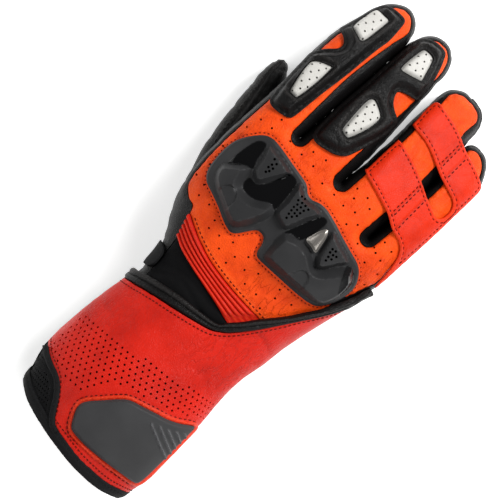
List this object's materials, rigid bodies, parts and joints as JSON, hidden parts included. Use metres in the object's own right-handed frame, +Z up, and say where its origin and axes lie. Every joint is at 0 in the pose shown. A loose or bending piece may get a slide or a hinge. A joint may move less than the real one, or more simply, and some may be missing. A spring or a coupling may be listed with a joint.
{
  "type": "motorcycle glove",
  "caption": "Right-hand summer motorcycle glove with a long cuff, knuckle guard, padded fingers and a linked ring and little finger, lying palm down.",
  "frame": {"origin": "below the middle of the glove's bounding box, on the surface that it lies on", "axes": "+Y from the cuff's mouth to the fingertips, +Z up through the back of the hand, +X to the little finger"},
  "size_m": [0.1285, 0.2996, 0.0576],
  "materials": {
    "orange_leather": "smooth bright orange leather with a fine grain",
    "red_leather": "smooth red leather, semi-gloss",
    "black_leather": "soft black leather with a fine grain",
    "white_leather": "perforated off-white leather",
    "black_textile": "black woven tape and mesh",
    "guard_plastic": "moulded black polyurethane, satin",
    "slider_plastic": "dark silver moulded plastic, satin"
  },
  "bodies": {
    "root": {"back_leather": "orange_leather", "accordion_panel": "red_leather", "finger_strap": "red_leather", "cuff_back": "red_leather", "thumb_side_wall": "black_leather", "fourchette_index_middle": "black_leather", "fourchette_middle_ring": "black_leather", "fourchette_ring_little": "black_leather", "little_side_wall": "black_leather", "palm_leather": "black_leather", "thumb": "black_leather", "index_pad": "black_leather", "middle_pad": "black_leather", "cuff_palm": "black_leather", "cuff_welt": "black_leather", "index_far_panel": "white_leather", "index_near_panel": "white_leather", "middle_far_panel": "white_leather", "middle_near_panel": "white_leather", "wrist_back": "black_textile", "wrist_strap": "black_textile", "mouth_band": "black_textile", "cuff_gusset": "black_textile", "flap_binding": "black_textile", "knuckle_guard": "guard_plastic", "cuff_armour": "guard_plastic", "guard_slider": "slider_plastic"}
  },
  "joints": []
}
